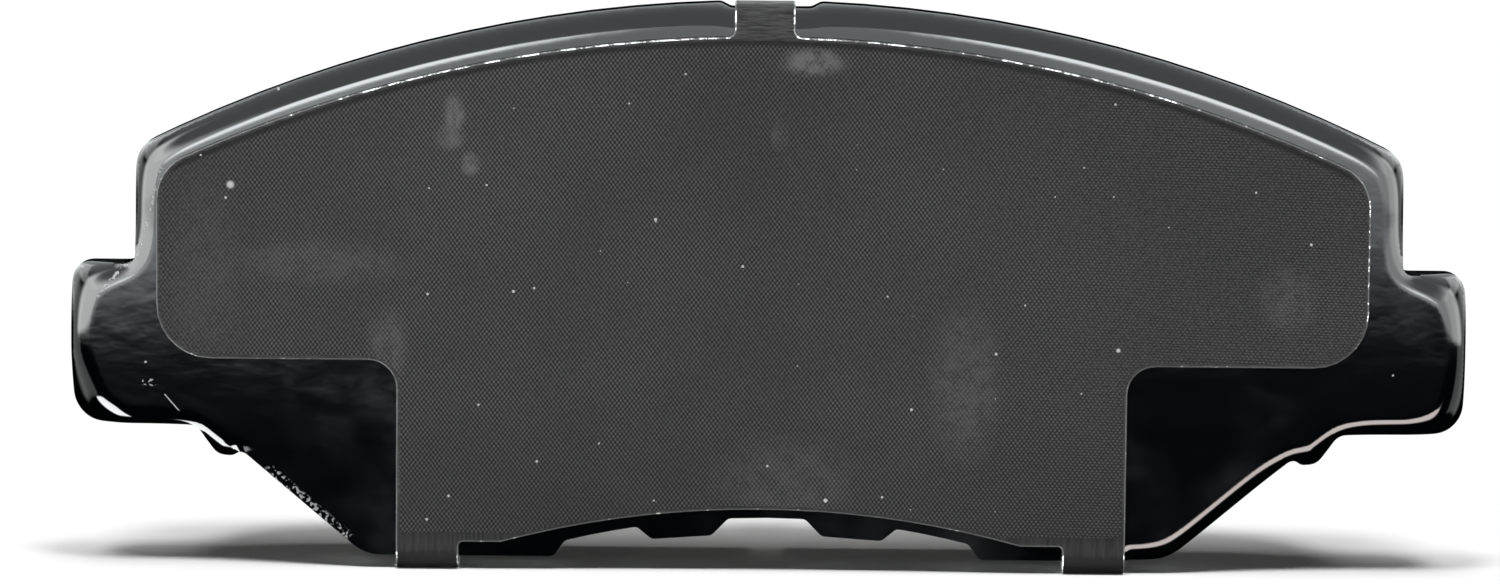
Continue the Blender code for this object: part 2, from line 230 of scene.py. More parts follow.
def roll_profile():
    """Depth of the die roll against its share of the width: 1 at its start, 0 at the edge."""
    outside = -1.2
    share = np.linspace(1.0, outside, 441)
    slope = np.interp(
        share,
        [outside, 0.0, ROLL_STEEP_SHARE, 1.0],
        [ROLL_END_SLOPE, ROLL_END_SLOPE, ROLL_MIDDLE_SLOPE, ROLL_START_SLOPE],
    )
    depth = np.concatenate([[0.0], np.cumsum(np.tan(slope[1:]) * -np.diff(share))])
    return share[::-1], depth[::-1]


class DieRoll:
    """How far the punched face falls away near the outline."""

    def __init__(self, outline, top_start):
        margin = 6 * ROLL_BLUR
        low = outline.min(axis=0) - margin
        high = outline.max(axis=0) + margin
        self.xs = np.arange(low[0], high[0], ROLL_FIELD_PITCH)
        self.zs = np.arange(low[1], high[1], ROLL_FIELD_PITCH)
        self.field = blurred(inside_mask(outline, self.xs, self.zs), ROLL_FIELD_PITCH, ROLL_BLUR)
        self.top_start = top_start
        self.ear_corners = []
        for edge, low_extra in ((outline[:, 0].min(), LEFT_EAR_LOW_EXTRA),
                                (outline[:, 0].max(), RIGHT_EAR_LOW_EXTRA)):
            end = outline[abs(outline[:, 0] - edge) < EAR_END_DEPTH]
            self.ear_corners.append((edge, end[:, 1].max(), EAR_TOP_EXTRA))
            self.ear_corners.append((edge, end[:, 1].min(), low_extra))
        self.rise = np.gradient(self.field, ROLL_FIELD_PITCH)
        self.tree = kdtree.KDTree(len(outline))
        for index, (x, z) in enumerate(outline):
            self.tree.insert((x, z, 0.0), index)
        self.tree.balance()
        self.share, self.depth = roll_profile()
        # A straight edge under the blur: the mask's value against the distance to the edge.
        self.steps = np.linspace(-4, 4, 801)
        self.sums = np.array([0.5 + 0.5 * math.erf(s / math.sqrt(2)) for s in self.steps])

    def read(self, field, points):
        """The field's value at each (x, z), between its grid points."""
        columns = (points[:, 0] - self.xs[0]) / ROLL_FIELD_PITCH
        rows = (points[:, 1] - self.zs[0]) / ROLL_FIELD_PITCH
        c, r = columns.astype(int), rows.astype(int)
        u, v = columns - c, rows - r
        near = field[r, c] * (1 - u) + field[r, c + 1] * u
        far = field[r + 1, c] * (1 - u) + field[r + 1, c + 1] * u
        return near * (1 - v) + far * v

    def depth_at(self, points):
        """Depth of the roll below the flat face, for each (x, z)."""
        values = np.clip(self.read(self.field, points), 1e-4, 1 - 1e-4)
        corner_distance = ROLL_BLUR * np.interp(values, self.sums, self.steps)
        found = [self.tree.find((x, z, 0.0)) for x, z in points]
        distance = np.array([item[2] for item in found])
        slopes = [self.read(part, points) for part in self.rise]
        upward = -slopes[0] / np.maximum(np.hypot(*slopes), 1e-6)
        up = upward * np.clip((points[:, 1] - self.top_start) / TOP_ROLL_FADE, 0, 1)
        down = np.clip(-upward, 0, 1)
        width = ROLL_WIDTH + (TOP_ROLL_WIDTH - ROLL_WIDTH) * np.clip(up, 0, 1)
        width += (LOW_ROLL_WIDTH - ROLL_WIDTH) * down
        for x, z, extra in self.ear_corners:
            close = 1 - np.hypot(points[:, 0] - x, points[:, 1] - z) / EAR_CORNER_REACH
            close = np.clip(close, 0, 1)
            width += extra * close * close * (3 - 2 * close)
        square = np.zeros(len(points))
        for left, right, top in SQUARE_EDGES:
            beside = np.maximum(left - points[:, 0], points[:, 0] - right)
            outside = np.maximum(beside, points[:, 1] - top)
            square = np.maximum(square, np.clip(-outside / MM + 0.5, 0, 1))
        near = ROLL_CORNER_SHARE * np.clip(2 - distance / ROLL_CORNER_REACH, 0, 1)
        reach = distance + (corner_distance - distance) * near
        share = np.clip(reach / width, self.share[0], self.share[-1])
        return np.interp(share, self.share, self.depth) * width * (1 - square)


# ---------------------------------------------------------------- mesh helpers


def new_piece(name, mesh, materials, replaced):
    """A visible piece on the root body that takes the place of one CAD node."""
    piece = bpy.data.objects.new(name, mesh)
    bpy.context.scene.collection.objects.link(piece)
    piece.data.materials.clear()
    for material in materials:
        piece.data.materials.append(material)
    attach(piece, "root")
    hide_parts(replaced)
    return piece


def hex_points(low, high, pitch):
    """A triangular lattice of points over a rectangle."""
    rows = np.arange(low[1], high[1], pitch * math.sqrt(3) / 2)
    points = []
    for number, z in enumerate(rows):
        xs = np.arange(low[0] + (number % 2) * pitch / 2, high[0], pitch)
        points.append(np.column_stack([xs, np.full(len(xs), z)]))
    return np.vstack(points)


def filled(outline, inner):
    """Triangles over an outline and loose points inside it: (points, faces)."""
    points = [Vector(p) for p in outline] + [Vector(p) for p in inner]
    ring = list(range(len(outline)))
    made = geometry.delaunay_2d_cdt(points, [], [ring], 1, 1e-9)
    return np.array([list(p) for p in made[0]]), [list(face) for face in made[2]]


def inner_points(outline, tree, band, fine, coarse):
    """Points for filling an outline: close together near the rim, wide apart inside."""
    low, high = outline.min(axis=0), outline.max(axis=0)
    chosen = []
    for pitch, start, stop in ((fine, fine * 0.6, band), (coarse, band + coarse * 0.4, 1.0)):
        points = hex_points(low, high, pitch)
        keep = np.zeros(len(points), bool)
        inside = inside_rows(outline, points)
        for index, (x, z) in enumerate(points):
            if inside[index]:
                keep[index] = start < tree.find((x, z, 0.0))[2] <= stop
        chosen.append(points[keep])
    return np.vstack(chosen)


def inside_rows(outline, points):
    """Which points lie inside an outline; the points come in rows of equal z."""
    inside = np.zeros(len(points), bool)
    for z in np.unique(points[:, 1]):
        row = points[:, 1] == z
        inside[row] = np.searchsorted(crossings(outline, z), points[row, 0]) % 2 == 1
    return inside


def fine_copy(name, node):
    """Welded copy of a CAD node's mesh, its flat faces made whole again."""
    shape = welded(node)
    flat = math.radians(0.5)
    bmesh.ops.dissolve_limit(shape, angle_limit=flat, verts=shape.verts, edges=shape.edges)
    mesh = bpy.data.meshes.new(name)
    shape.to_mesh(mesh)
    shape.free()
    return mesh


def bevelled(piece, width, segments):
    """Rounds the piece's sharp edges and shades it smooth across them."""
    modifier = piece.modifiers.new("rounded_edges", "BEVEL")
    modifier.width = width
    modifier.segments = segments
    modifier.limit_method = "ANGLE"
    modifier.angle_limit = math.radians(40)
    modifier.harden_normals = False
    piece.data.shade_smooth()
    normals = piece.modifiers.new("even_shading", "WEIGHTED_NORMAL")
    normals.keep_sharp = False
    normals.weight = 100


# ---------------------------------------------------------------- node helpers


class Tree:
    """Small wrapper for building a node tree."""

    def __init__(self, tree):
        self.tree = tree

    def add(self, kind, settings=None, **inputs):
        """A new node; an underscore in an input's name stands for a space."""
        node = self.tree.nodes.new("ShaderNode" + kind)
        for key, value in (settings or {}).items():
            setattr(node, key, value)
        for key, value in inputs.items():
            self.put(node, key.replace("_", " "), value)
        return node

    def put(self, node, key, value):
        """Links or sets one input, given by its name or its number."""
        socket = node.inputs[int(key)] if key.isdigit() else node.inputs[key]
        if isinstance(value, bpy.types.NodeSocket):
            self.tree.links.new(value, socket)
        else:
            socket.default_value = value

    def math(self, operation, first, second=0.0, third=0.0):
        node = self.add("Math", {"operation": operation})
        for key, value in zip("012", (first, second, third)):
            self.put(node, key, value)
        return node.outputs[0]

    def ramp(self, value, low, high, start=0.0, end=1.0):
        """Smooth step from start, where value is low, to end, where it is high."""
        node = self.add("MapRange", {"interpolation_type": "SMOOTHSTEP"})
        for key, item in zip("01234", (value, low, high, start, end)):
            self.put(node, key, item)
        return node.outputs[0]

    def mix(self, share, first, second):
        """The first colour where share is 0, the second where it is 1."""
        node = self.add("Mix", {"data_type": "RGBA"})
        self.put(node, "0", share)
        self.put(node, "6", first)
        self.put(node, "7", second)
        return node.outputs[2]


class Nodes(Tree):
    """A new material and its node tree."""

    def __init__(self, name):
        self.material = bpy.data.materials.new(name)
        self.material.use_nodes = True
        super().__init__(self.material.node_tree)
        self.shader = self.tree.nodes["Principled BSDF"]

    def noise(self, scale, detail=2.0, roughness=0.5, vector=None):
        node = self.add("TexNoise", Scale=scale, Detail=detail, Roughness=roughness)
        self.put(node, "Vector", vector or self.place())
        return node.outputs[0]

    def place(self, scale=None, rotation=None, location=None):
        """Object coordinates, scaled, turned or moved."""
        coordinates = self.add("TexCoord").outputs["Object"]
        if scale is None and rotation is None and location is None:
            return coordinates
        node = self.add("Mapping")
        self.put(node, "Vector", coordinates)
        self.put(node, "Scale", scale or (1, 1, 1))
        self.put(node, "Rotation", rotation or (0, 0, 0))
        self.put(node, "Location", location or (0, 0, 0))
        return node.outputs[0]

    def bump(self, height, strength, distance):
        node = self.add("Bump", Height=height, Strength=strength, Distance=distance)
        return node.outputs[0]

    def finish(self, **inputs):
        """Sets the shader's inputs and returns the material."""
        for key, value in inputs.items():
            self.put(self.shader, key.replace("_", " "), value)
        return self.material


def grey(level):
    return (level, level, level, 1.0)


# ---------------------------------------------------------------- materials


def specks(nodes, density, radius, share, seed, flat=False):
    """Sparse round specks: 1 on a speck. share is the part of the cells that has one.

    Flat specks lie on the front, where the solid kind would mostly miss the surface.
    """
    place = nodes.place(location=(seed, seed * 0.37, seed * 0.71))
    settings = {"feature": "F1"}
    if flat:
        split = nodes.add("SeparateXYZ", Vector=place)
        place = nodes.add("CombineXYZ", X=split.outputs[0], Y=split.outputs[2]).outputs[0]
        settings["voronoi_dimensions"] = "2D"
    cells = nodes.add("TexVoronoi", settings, Scale=density)
    nodes.put(cells, "Vector", place)
    colour = nodes.add("SeparateColor")
    nodes.put(colour, "0", cells.outputs["Color"])
    chosen = nodes.math("LESS_THAN", colour.outputs[0], share)
    size = nodes.math("MULTIPLY", colour.outputs[1], radius * density)
    spot = nodes.math("LESS_THAN", cells.outputs["Distance"], size)
    return nodes.math("MULTIPLY", chosen, spot)


def streak(nodes, start, end, width):
    """1 on a straight mark between two (x, z) places on the front, fading at its sides."""
    split = nodes.add("SeparateXYZ", Vector=nodes.place())
    length = math.dist(start, end)
    ux, uz = (end[0] - start[0]) / length, (end[1] - start[1]) / length
    x = nodes.math("SUBTRACT", split.outputs[0], start[0])
    z = nodes.math("SUBTRACT", split.outputs[2], start[1])
    along = nodes.math("ADD", nodes.math("MULTIPLY", x, ux), nodes.math("MULTIPLY", z, uz))
    aside = nodes.math("SUBTRACT", nodes.math("MULTIPLY", x, uz), nodes.math("MULTIPLY", z, ux))
    middle = nodes.math("ABSOLUTE", nodes.math("SUBTRACT", along, length / 2))
    ends = nodes.ramp(middle, length / 2, length / 2 + width, 1, 0)
    sides = nodes.ramp(nodes.math("ABSOLUTE", aside), width * 0.5, width, 1, 0)
    return nodes.math("MULTIPLY", ends, sides)


def smear(nodes, x, z, half_width, half_height):
    """1 in the middle of a soft oval mark on the front, 0 outside it."""
    scale = (1 / half_width, 0, 1 / half_height)
    place = nodes.add("Mapping", {"vector_type": "POINT"})
    nodes.put(place, "Vector", nodes.place())
    nodes.put(place, "Scale", scale)
    nodes.put(place, "Location", (-x / half_width, 0, -z / half_height))
    radius = nodes.add("VectorMath", {"operation": "LENGTH"})
    nodes.put(radius, "0", place.outputs[0])
    return nodes.ramp(radius.outputs["Value"], 0.35, 1.0, 1, 0)


def side_of(nodes, axis):
    """The object's x, y or z coordinate, for axis 0, 1 or 2."""
    return nodes.add("SeparateXYZ", Vector=nodes.place()).outputs[axis]


def black_paint():
    """Gloss paint with orange peel; chips, a scratch and dust on the front only."""
    nodes = Nodes("gloss_black_paint")
    peel = nodes.noise(1.0, 2.0, 0.5, nodes.place(scale=(330, 500, 560), rotation=(0, 0.3, 0)))
    ripple = nodes.noise(1.0, 1.0, 0.4, nodes.place(scale=(110, 200, 190), rotation=(0, 0.2, 0)))
    height = nodes.math("ADD", nodes.math("MULTIPLY", ripple, 2.6), peel)
    normal = nodes.bump(height, 1.0, 0.0000042)
    haze = nodes.ramp(nodes.noise(60, 4.0, 0.6), 0.45, 0.75, 0.05, 0.11)
    scratch = streak(nodes, *SCRATCH)
    chips = nodes.math("GREATER_THAN", nodes.noise(2600, 1.0), 0.56)
    rubbed = smear(nodes, *RUBBED_SPOT)
    for ridge in PAINT_RIDGE:
        rubbed = nodes.math("MAXIMUM", rubbed, streak(nodes, *ridge))
    knocked = streak(nodes, *KNOCKED_SLOPE)
    rubbed = nodes.math("MAXIMUM", rubbed, nodes.math("MULTIPLY", knocked, 0.5))
    marks = nodes.math("MAXIMUM", scratch, nodes.math("MULTIPLY", rubbed, chips))
    front = nodes.math("LESS_THAN", side_of(nodes, 1), PAINT_MARKS_UP_TO)
    dust = specks(nodes, 210, 0.00015, 0.05, 3.1, flat=True)
    marks = nodes.math("MULTIPLY", nodes.math("MAXIMUM", dust, marks), front)
    black = (0.0010, 0.0013, 0.0018, 1)
    colour = nodes.mix(nodes.math("MULTIPLY", marks, 0.8), black, grey(0.5))
    rough = nodes.math("MULTIPLY_ADD", marks, 0.5, haze)
    return nodes.finish(Base_Color=colour, Roughness=rough, Normal=normal, IOR=1.52)


def weave(nodes):
    """Height of the woven texture, about -1 to 1; its rows show more towards the right."""
    tilted = nodes.place(rotation=(0, WEAVE_TILT, 0))
    wobble = nodes.noise(900, 1.0, 0.5)
    drift = nodes.math("MULTIPLY", nodes.math("SUBTRACT", wobble, 0.5), 1.1)
    split = nodes.add("SeparateXYZ", Vector=tilted)
    across = nodes.math("MULTIPLY_ADD", split.outputs[0], math.tau / WEAVE_ACROSS, drift)
    up = nodes.math("MULTIPLY_ADD", split.outputs[2], math.tau / WEAVE_UP, drift)
    rows = nodes.math("COSINE", up)
    crossed = nodes.math("MULTIPLY", nodes.math("COSINE", across), rows)
    share = nodes.ramp(split.outputs[0], 10 * MM, 45 * MM, 0.0, 0.55)
    fine_rows = nodes.math("COSINE", nodes.math("MULTIPLY", up, 2.0))
    lines = nodes.math("MULTIPLY", nodes.math("MULTIPLY", fine_rows, 0.6), share)
    return nodes.math("MULTIPLY_ADD", crossed, nodes.math("SUBTRACT", 1.0, share), lines)


def painted_rim_shadow(nodes):
    """1 along the rubber's arched top edge, where a painted shadow makes it dark."""
    low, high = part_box("shim_outer_rubber")
    x = nodes.math("SUBTRACT", side_of(nodes, 0), (low.x + high.x) / 2)
    z = nodes.math("SUBTRACT", side_of(nodes, 2), high.z - RUBBER_TOP_RADIUS)
    square = nodes.math("ADD", nodes.math("MULTIPLY", x, x), nodes.math("MULTIPLY", z, z))
    gap = nodes.math("SUBTRACT", RUBBER_TOP_RADIUS, nodes.math("SQRT", square))
    return nodes.ramp(gap, 0.25 * MM, 0.75 * MM, 0.8, 0.0)


def woven_rubber():
    """Charcoal rubber with pale threads, weaker at the left and right ends; painted shade darkens
    its low part and its top edge.
    """
    nodes = Nodes("woven_shim_rubber")
    threads = weave(nodes)
    patches = nodes.noise(60, 4.0, 0.6)
    across = side_of(nodes, 0)
    calm = nodes.math("MULTIPLY", nodes.ramp(across, -62 * MM, -48 * MM, 0.45, 1.0),
                      nodes.ramp(across, 5 * MM, 40 * MM, 1.0, 0.75))
    contrast = nodes.math("MULTIPLY", nodes.ramp(patches, 0.35, 0.65, 0.6, 1.1), calm)
    up = side_of(nodes, 2)
    contrast = nodes.math("MULTIPLY", contrast, nodes.ramp(up, 6 * MM, 26 * MM, 1.5, 1.0))
    raised = nodes.math("MULTIPLY", threads, contrast)
    uneven = nodes.math("MULTIPLY_ADD", nodes.noise(3600, 2.0, 0.6), 0.8, -0.4)
    shade = nodes.ramp(nodes.math("ADD", raised, uneven), -0.55, 0.95)
    level = nodes.ramp(nodes.noise(28, 3.0, 0.55), 0.3, 0.7, 0.0, 1.0)
    low = nodes.mix(level, grey(0.002), grey(0.005))
    high = nodes.mix(level, grey(0.108), grey(0.130))
    colour = nodes.mix(shade, low, high)
    # Painted shade: the face gets darker towards the bottom.
    colour = nodes.mix(nodes.ramp(up, 4 * MM, 22 * MM, 0.66, 1.0), grey(0.003), colour)
    marks = 0.0
    for place, strength in SMEARS:
        marks = nodes.math("MULTIPLY_ADD", smear(nodes, *place), strength, marks)
    rub = nodes.ramp(nodes.noise(450, 4.0, 0.7), 0.35, 0.6, 0.2, 1.0)
    colour = nodes.mix(nodes.math("MULTIPLY", marks, rub), colour, grey(0.19))
    # Painted shadow: a dark line along the rubber's top edge.
    colour = nodes.mix(painted_rim_shadow(nodes), colour, grey(0.003))
    dust = nodes.math("MAXIMUM", specks(nodes, 160, 0.00022, 0.07, 7.7, flat=True),
                      specks(nodes, 330, 0.00016, 0.08, 4.9, flat=True))
    for x, z, size in LARGE_SPECKS:
        dust = nodes.math("MAXIMUM", dust, smear(nodes, x, z, size, size))
    colour = nodes.mix(dust, colour, grey(0.62))
    normal = nodes.bump(threads, 0.5, 0.00003)
    return nodes.finish(Base_Color=colour, Roughness=0.75, Normal=normal,
                        Specular_IOR_Level=0.12)


def coated_steel():
    """Dark coating of the shim's rim and tabs, drawn into streaks by the bending tool, with
    painted shade low down on the tabs and on their bends.
    """
    nodes = Nodes("coated_shim_steel")
    level = side_of(nodes, 2)
    sideways = nodes.noise(1.0, 3.0, 0.6, nodes.place(scale=(420, 1500, 4600)))
    upright = nodes.noise(1.0, 3.0, 0.7, nodes.place(scale=(3200, 500, 260)))
    low = nodes.ramp(level, 5 * MM, 7 * MM, 1, 0)
    streaks = nodes.math("ADD", nodes.math("MULTIPLY", upright, low),
                         nodes.math("MULTIPLY", sideways, nodes.math("SUBTRACT", 1.0, low)))
    colour = nodes.mix(nodes.ramp(streaks, 0.3, 0.7), grey(0.02), grey(0.075))
    # Painted shade: the coating gets darker towards the bottom of the tabs.
    colour = nodes.mix(nodes.ramp(level, 5 * MM, 9 * MM, 0.42, 1.0), grey(0.003), colour)
    # Painted shade on the tabs' bends, its edge ragged along the streaks.
    bend_shade_level = nodes.math("MULTIPLY_ADD", streaks, 1.2 * MM, level)
    colour = nodes.mix(nodes.ramp(bend_shade_level, 2.3 * MM, 3.0 * MM), grey(0.003), colour)
    rough = nodes.ramp(nodes.noise(700, 3.0, 0.6), 0.3, 0.7, 0.42, 0.58)
    normal = nodes.bump(streaks, 0.35, 0.00002)
    return nodes.finish(Base_Color=colour, Roughness=rough, Normal=normal,
                        Specular_IOR_Level=0.09)


def sheared_steel():
    """Bare cut edge of the sheet, most of it smeared over by the coating lower down."""
    nodes = Nodes("sheared_edge_steel")
    grain = nodes.noise(1.0, 3.0, 0.6, nodes.place(scale=(3000, 900, 3000)))
    covered = nodes.ramp(side_of(nodes, 2), 44 * MM, 54 * MM, 0.13, 0.0)
    right = nodes.ramp(side_of(nodes, 0), 62 * MM, 63 * MM, 1.0, 0.55)
    covered = nodes.math("MULTIPLY", covered, right)
    covered = nodes.math("MULTIPLY", covered, nodes.ramp(side_of(nodes, 2), 2.0 * MM, 2.6 * MM))
    patches = nodes.math("SUBTRACT", nodes.noise(750, 5.0, 0.8), covered)
    bare = nodes.ramp(patches, 0.47, 0.54)
    colour = nodes.mix(bare, grey(0.07), grey(0.80))
    rough = nodes.ramp(grain, 0.3, 0.7, 0.28, 0.5)
    normal = nodes.bump(grain, 0.5, 0.00002)
    return nodes.finish(Base_Color=colour, Metallic=bare, Roughness=rough, Normal=normal)


def plain_rubber():
    """Inner rubber of the shim."""
    nodes = Nodes("inner_shim_rubber")
    colour = nodes.mix(nodes.noise(500, 3.0), grey(0.012), grey(0.03))
    return nodes.finish(Base_Color=colour, Roughness=0.8)


def adhesive():
    """Film that holds the shim to the plate."""
    nodes = Nodes("shim_adhesive")
    colour = nodes.mix(nodes.noise(500, 3.0), (0.09, 0.08, 0.06, 1), (0.16, 0.15, 0.12, 1))
    return nodes.finish(Base_Color=colour, Roughness=0.55)


def friction_compound(name, level, ground):
    """Pressed compound with fibres, mineral grains and metal flecks."""
    nodes = Nodes(name)
    grain = nodes.noise(900, 5.0, 0.7)
    base = nodes.mix(grain, grey(level * 0.55), (level * 1.5, level * 1.42, level * 1.3, 1))
    pale = specks(nodes, 620, 0.0006, 0.16, 1.3)
    colour = nodes.mix(nodes.math("MULTIPLY", pale, 0.55), base, grey(0.26))
    dark = specks(nodes, 480, 0.0007, 0.22, 2.9)
    colour = nodes.mix(nodes.math("MULTIPLY", dark, 0.8), colour, grey(0.015))
    brass = specks(nodes, 900, 0.0004, 0.07, 5.3)
    colour = nodes.mix(brass, colour, (0.62, 0.42, 0.2, 1))
    steel = specks(nodes, 820, 0.0005, 0.08, 9.4)
    colour = nodes.mix(steel, colour, grey(0.55))
    metal = nodes.math("MAXIMUM", brass, steel)
    rough = nodes.ramp(metal, 0, 1, 0.86, 0.34)
    height = nodes.math("SUBTRACT", grain, nodes.math("MULTIPLY", dark, 0.8))
    if ground:
        lines = nodes.noise(1.0, 4.0, 0.7, nodes.place(scale=(40, 900, 5200)))
        height = nodes.math("ADD", nodes.math("MULTIPLY", lines, 1.4), height)
    normal = nodes.bump(height, 0.6, 0.00006)
    return nodes.finish(Base_Color=colour, Metallic=metal, Roughness=rough, Normal=normal)


# ---------------------------------------------------------------- pieces


def torn(x, y, z):
    """How far the wall's torn part stands out at a place."""
    place = (x * TEAR_SCALE[0], y * TEAR_SCALE[1], z * TEAR_SCALE[2])
    return noise.noise(place) * TEAR_AMOUNT - TEAR_OFFSET


def wall_rows(shape, outline, front, back):
    """Rows of points down the plate's wall, from below its rolled front edge to its back."""
    normals = outward(outline)
    rows = []
    for step in range(1, WALL_STEPS + 1):
        t = step / WALL_STEPS
        row = []
        for (x, z), normal, start in zip(outline, normals, front):
            y = start + (back - BACK_BEVEL - start) * t
            tear = torn(x, y, z) if TORN_FROM < t < TORN_TO else 0.0
            row.append(shape.verts.new((x + normal[0] * tear, y, z + normal[1] * tear)))
        rows.append(row)
    rows.append([shape.verts.new((x, back, z)) for x, z in outline - normals * BACK_BEVEL])
    return rows


def make_plate():
    node = "backing_plate"
    low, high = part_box(node)
    outline = resampled(flat_loop(node, high.y), OUTLINE_PITCH, OUTLINE_SOFTNESS)
    roll = DieRoll(outline, high.z - TOP_ROLL_DROP)
    inner = inner_points(outline, roll.tree, RIM_BAND, RIM_PITCH, CORE_PITCH)
    points, faces = filled(outline, inner)
    shape = bmesh.new()
    face_y = low.y + roll.depth_at(points)
    near = [shape.verts.new((x, y, z)) for (x, z), y in zip(points, face_y)]
    for face in faces:
        shape.faces.new([near[index] for index in face])
    rows = [near[:len(outline)]]
    rows += wall_rows(shape, outline, low.y + roll.depth_at(outline), high.y)
    for a, b in zip(rows, rows[1:]):
        for index in range(len(outline)):
            shape.faces.new((a[index - 1], b[index - 1], b[index], a[index]))
    shape.faces.new(rows[-1])
    bmesh.ops.recalc_face_normals(shape, faces=shape.faces)
    mesh = bpy.data.meshes.new("plate_body")
    shape.to_mesh(mesh)
    shape.free()
    mesh.shade_smooth()
    mesh.set_sharp_from_angle(angle=math.radians(50))
    new_piece("plate_body", mesh, [black_paint()], node)


def make_core():
    node = "shim_steel_core"
    mesh = fine_copy("shim_sheet", node)
    core = new_piece("shim_sheet", mesh, [coated_steel(), sheared_steel()], node)
    bare_cut_edges(core.data)
    bevelled(core, 0.16 * MM, 4)
    core.modifiers["rounded_edges"].material = 1


def bare_cut_edges(mesh):
    """Gives the cut edge faces, which are one sheet thickness wide, the bare steel."""
    shape = bmesh.new()
    shape.from_mesh(mesh)
    for face in shape.faces:
        lengths = [edge.calc_length() for edge in face.edges]
        across = [item for item in lengths if abs(item - SHEET_THICKNESS) < SHEET_TOLERANCE]
        if face.calc_area() < CUT_EDGE_WIDTH * max(lengths) and len(across) >= 2:
            face.material_index = 1
    shape.to_mesh(mesh)
    shape.free()


def make_layers():
    for name, node, slot, material in (
        ("shim_face", "shim_outer_rubber", "shim_outer_rubber", woven_rubber()),
        ("shim_inner_layer", "shim_inner_rubber", "shim_inner_rubber", plain_rubber()),
        ("shim_film", "shim_adhesive_film", "shim_adhesive", adhesive()),
    ):
        layer = new_piece(name, fine_copy(name, node), [material], node)
        bevelled(layer, 0.03 * MM, 2)


def make_lining():
    ground = friction_compound("ground_lining", 0.075, True)
    for side in ("left", "right"):
        name, node = "lining_" + side, "friction_block_" + side
        block = new_piece(name, fine_copy(name, node), [ground], node)
        bevelled(block, 0.35 * MM, 3)
    name, node = "bonding_layer", "underlayer"
    bonding = friction_compound("bonding_compound", 0.05, False)
    layer = new_piece(name, fine_copy(name, node), [bonding], node)
    bevelled(layer, 0.15 * MM, 2)


# ---------------------------------------------------------------- stage


FLOOR_REACH = 6.0
CAMERA_DISTANCE = 0.650
CAMERA_ELEVATION = math.radians(6.5)
CAMERA_ROLL = math.radians(0.53)
SENSOR_WIDTH = 36
# Width of the picture in the plane of the shim's face, and its middle in that plane.
FRAME_WIDTH_AT_PAD = 0.15964
TARGET = Vector((-0.0020, 0.0, 0.03022))


def make_camera():
    camera = bpy.data.objects.new("camera", bpy.data.cameras.new("camera"))
    bpy.context.scene.collection.objects.link(camera)
    back = Vector((0, -math.cos(CAMERA_ELEVATION), math.sin(CAMERA_ELEVATION)))
    face_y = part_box("shim_outer_rubber")[0].y
    target = TARGET + Vector((0, face_y, 0))
    camera.location = target + back * CAMERA_DISTANCE
    turn = (-back).to_track_quat("-Z", "Y").to_matrix() @ Matrix.Rotation(CAMERA_ROLL, 3, "Z")
    camera.rotation_euler = turn.to_euler()
    camera.data.sensor_width = SENSOR_WIDTH
    camera.data.lens = SENSOR_WIDTH * CAMERA_DISTANCE / FRAME_WIDTH_AT_PAD
    camera.data.clip_start = 0.01
    bpy.context.scene.camera = camera


def sun(name, azimuth, elevation, angle, strength):
    """A sun that gloss does not mirror; azimuth, elevation and angle are in degrees."""
    data = bpy.data.lights.new(name, "SUN")
    data.energy = strength
    data.angle = math.radians(angle)
    light = bpy.data.objects.new(name, data)
    bpy.context.scene.collection.objects.link(light)
    a, e = math.radians(azimuth), math.radians(elevation)
    light.location = (math.sin(a) * math.cos(e), -math.cos(a) * math.cos(e), math.sin(e))
    light.rotation_euler = (-light.location).to_track_quat("-Z", "Y").to_euler()
    light.visible_glossy = False


def make_stage():
    mesh = bpy.data.meshes.new("floor")
    around = ((-1, -1), (1, -1), (1, 1), (-1, 1))
    corners = [(x * FLOOR_REACH, y * FLOOR_REACH, 0) for x, y in around]
    mesh.from_pydata(corners, [], [(0, 1, 2, 3)])
    floor = bpy.data.objects.new("floor", mesh)
    bpy.context.scene.collection.objects.link(floor)
    nodes = Nodes("pale_floor")
    floor.data.materials.append(nodes.finish(Base_Color=grey(0.92), Roughness=0.9,
                                             Specular_IOR_Level=0.0))
    floor.visible_glossy = False


class Studio(Tree):
    """What gloss mirrors: soft lamps painted on the sky by azimuth and elevation.

    Azimuth is 0 straight in front of the shim and positive to the right, in degrees.
    """

    def __init__(self):
        world = bpy.data.worlds.new("studio")
        bpy.context.scene.world = world
        world.use_nodes = True
        world.cycles.sampling_method = "NONE"
        super().__init__(world.node_tree)
        x, y, z = self.add("SeparateXYZ", Vector=self.add("TexCoord").outputs["Generated"]).outputs
        degrees = math.degrees(1)
        turn = self.math("ARCTAN2", x, self.math("MULTIPLY", y, -1.0))
        self.azimuth = self.math("MULTIPLY", turn, degrees)
        self.elevation = self.math("MULTIPLY", self.math("ARCSINE", z), degrees)
        # How far to either side: in degrees, and as the sine of the angle.
        self.aside = self.math("ABSOLUTE", self.azimuth)
        self.sideways = self.math("ABSOLUTE", x)
        # Large where a place is higher up than it is to the side.
        self.steep = self.math("SUBTRACT", self.elevation, self.math("MULTIPLY", self.aside, 0.9))
        self.light = (0, 0, 0)

    def passed(self, value, start, end):
        """0 before start and 1 after end; the other way round where end is smaller."""
        if start < end:
            return self.ramp(value, start, end)
        return self.ramp(value, end, start, 1.0, 0.0)

    def lamp(self, radiance, colour, *edges):
        """Adds light where all edges, each (value, start, end), are passed."""
        share = radiance
        for edge in edges:
            share = self.math("MULTIPLY", self.passed(*edge), share)
        node = self.add("VectorMath", {"operation": "MULTIPLY_ADD"})
        for key, value in zip("012", (colour, share, self.light)):
            self.put(node, key, value)
        self.light = node.outputs[0]

    def finish(self, fill):
        """Gloss sees the lamps, the camera sees white, and all else gets a plain fill."""
        path = self.add("LightPath")
        seen = self.mix(path.outputs["Is Glossy Ray"], grey(fill), self.light)
        seen = self.mix(path.outputs["Is Camera Ray"], seen, grey(1.0))
        self.put(self.tree.nodes["Background"], "Color", seen)


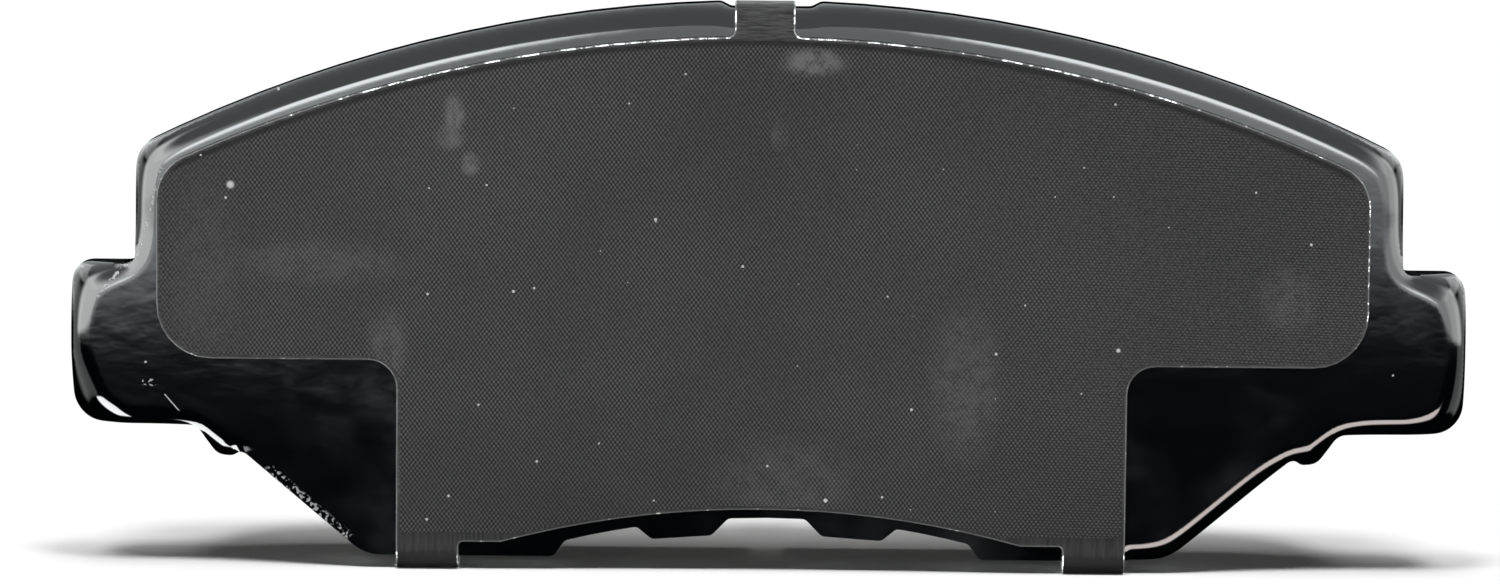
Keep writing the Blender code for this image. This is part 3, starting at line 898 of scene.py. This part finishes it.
def make_world():
    """All lamps that gloss mirrors: radiance, colour, then the edges of each lamp."""
    studio = Studio()
    azimuth, aside, sideways = studio.azimuth, studio.aside, studio.sideways
    elevation, steep = studio.elevation, studio.steep
    cool, neutral, warm = (0.93, 0.98, 1.0), (0.98, 1.0, 1.0), (1.0, 0.90, 0.87)
    # Dim ceiling.
    studio.lamp(1.3, cool, (elevation, 7, 14), (sideways, 0.8, 0.5))
    # Bright wall in front: its left and right halves, its upper part and its dim middle.
    front = (aside, 13, 9)
    studio.lamp(5.5, cool, (elevation, -7.1, -5.4), (elevation, 13, 8), front,
                (azimuth, -2.0, -4.4))
    studio.lamp(4.5, cool, (elevation, -6.9, -4.6), (elevation, 13, 8), (aside, 32, 9),
                (azimuth, 2.0, 4.4))
    studio.lamp(14.0, cool, (elevation, -4, 3), (elevation, 13, 7), front, (aside, 2.0, 4.4))
    studio.lamp(2.8, cool, (elevation, -7.5, -5), (elevation, 12, 8), (aside, 4.4, 2.0))
    # Large lamps to the left and right, and a dimmer, higher one at each side.
    studio.lamp(9.5, neutral, (azimuth, -10, -14), (azimuth, -92, -62),
                (elevation, -7.1, -4.7), (elevation, 60, 42), (steep, 6, -6))
    studio.lamp(6.5, neutral, (azimuth, 8, 42), (azimuth, 100, 76),
                (elevation, -6.3, -4.4), (elevation, 58, 38), (steep, 6, -12))
    studio.lamp(2.4, neutral, (aside, 62, 86), (aside, 152, 144),
                (elevation, 18, 26), (elevation, 48, 42))
    # Floor beside the pad.
    studio.lamp(1.1, neutral, (aside, 52, 65), (aside, 130, 110), (elevation, -34, -26),
                (elevation, 20, 8))
    # Small lamps low down, to the left and to the right.
    studio.lamp(20.0, neutral, (azimuth, -72, -62), (azimuth, -24, -29),
                (elevation, -66, -58), (elevation, -30, -34))
    studio.lamp(12.0, warm, (azimuth, 2.5, 4.5), (azimuth, 25, 18),
                (elevation, -36, -28), (elevation, -12, -16))
    # Lamps behind.
    studio.lamp(1.5, neutral, (aside, 110, 130), (aside, 165, 150), (elevation, -6, 0),
                (elevation, 30, 18))
    studio.finish(0.05)


def make_lights():
    """The suns that light the pad and cast its shadow."""
    sun("left", -26, 70, 12, 1.2)
    sun("right", 26, 70, 12, 1.2)
    sun("above", 0, 84, 26, 1.1)


make_camera()
make_plate()
make_core()
make_layers()
make_lining()
make_stage()
make_world()
make_lights()
bpy.context.scene.view_settings.view_transform = "Standard"

bpy.context.view_layer.update()
